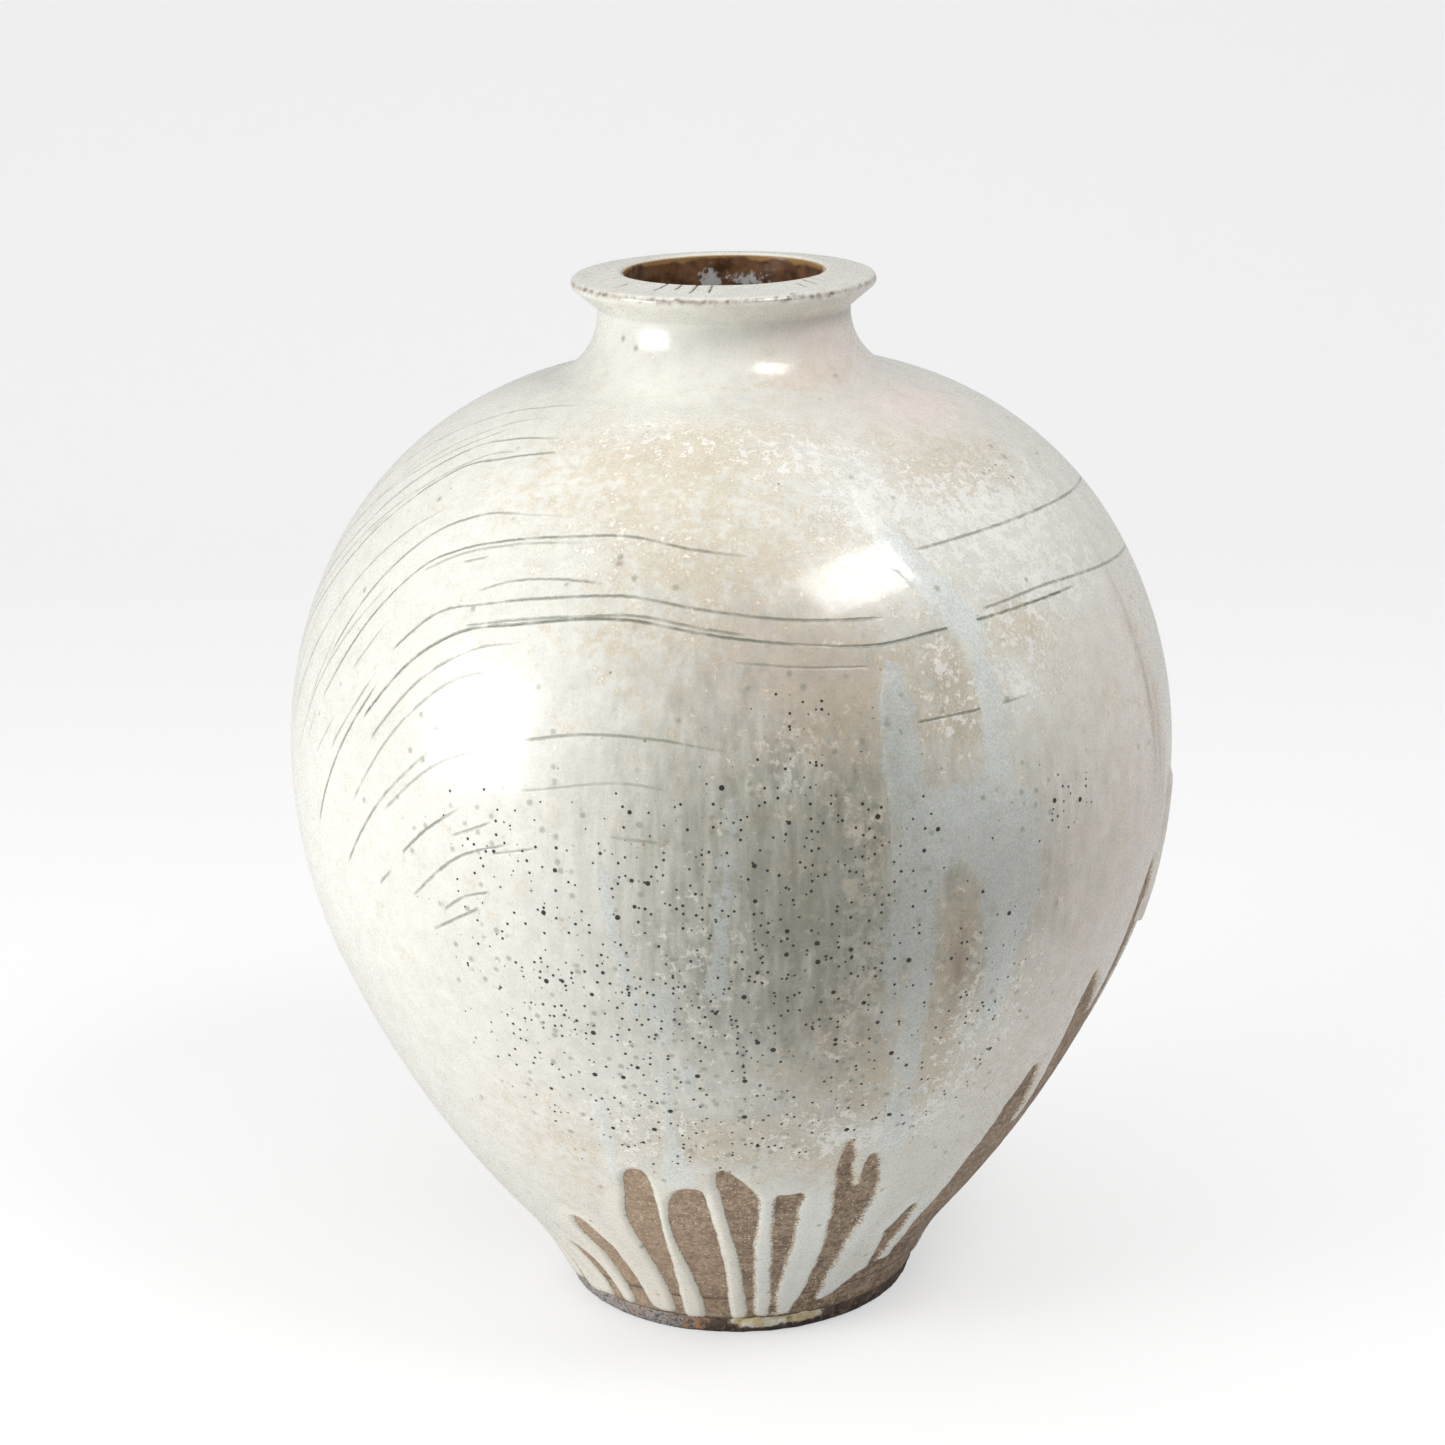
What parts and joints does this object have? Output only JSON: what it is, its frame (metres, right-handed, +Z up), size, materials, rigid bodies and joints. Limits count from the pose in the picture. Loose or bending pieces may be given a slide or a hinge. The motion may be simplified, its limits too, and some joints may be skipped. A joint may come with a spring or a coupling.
{
  "type": "ceramic moon jar",
  "caption": "Large free-standing stoneware moon jar with a full belly, narrow foot, short neck and flat everted rim, ash glazed with bare clay windows above the foot.",
  "frame": {"origin": "centre of the foot's resting plane, under the middle of the jar", "axes": "+Z up along the jar's axis, -Y towards the front, +X to the right seen from the front"},
  "size_m": [0.3855, 0.3856, 0.4598],
  "materials": {
    "dark_stoneware": "bare, sandy, matt",
    "joint_slip": "bare, smooth, matt",
    "cream_glaze": "glossy, finely pitted ash glaze",
    "liner_glaze": "glossy brown",
    "ash_run_glaze": "thick, curdled, blue-white gloss",
    "foot_wash": "scorched iron wash, matt"
  },
  "bodies": {
    "root": {"foot_ring": "dark_stoneware", "base_disc": "dark_stoneware", "lower_bowl": "dark_stoneware", "upper_bowl": "dark_stoneware", "neck_collar": "dark_stoneware", "rim_coil": "dark_stoneware", "foot_joint_slip": "joint_slip", "floor_joint_slip": "joint_slip", "belly_joint_slip": "joint_slip", "neck_joint_slip": "joint_slip", "rim_joint_slip": "joint_slip", "outer_glaze": "cream_glaze", "rim_glaze": "cream_glaze", "inner_glaze": "liner_glaze", "foot_wash": "foot_wash", "ash_run_front": "ash_run_glaze", "ash_run_shoulder": "ash_run_glaze", "ash_run_side": "ash_run_glaze", "glaze_drop": "ash_run_glaze"}
  },
  "joints": []
}
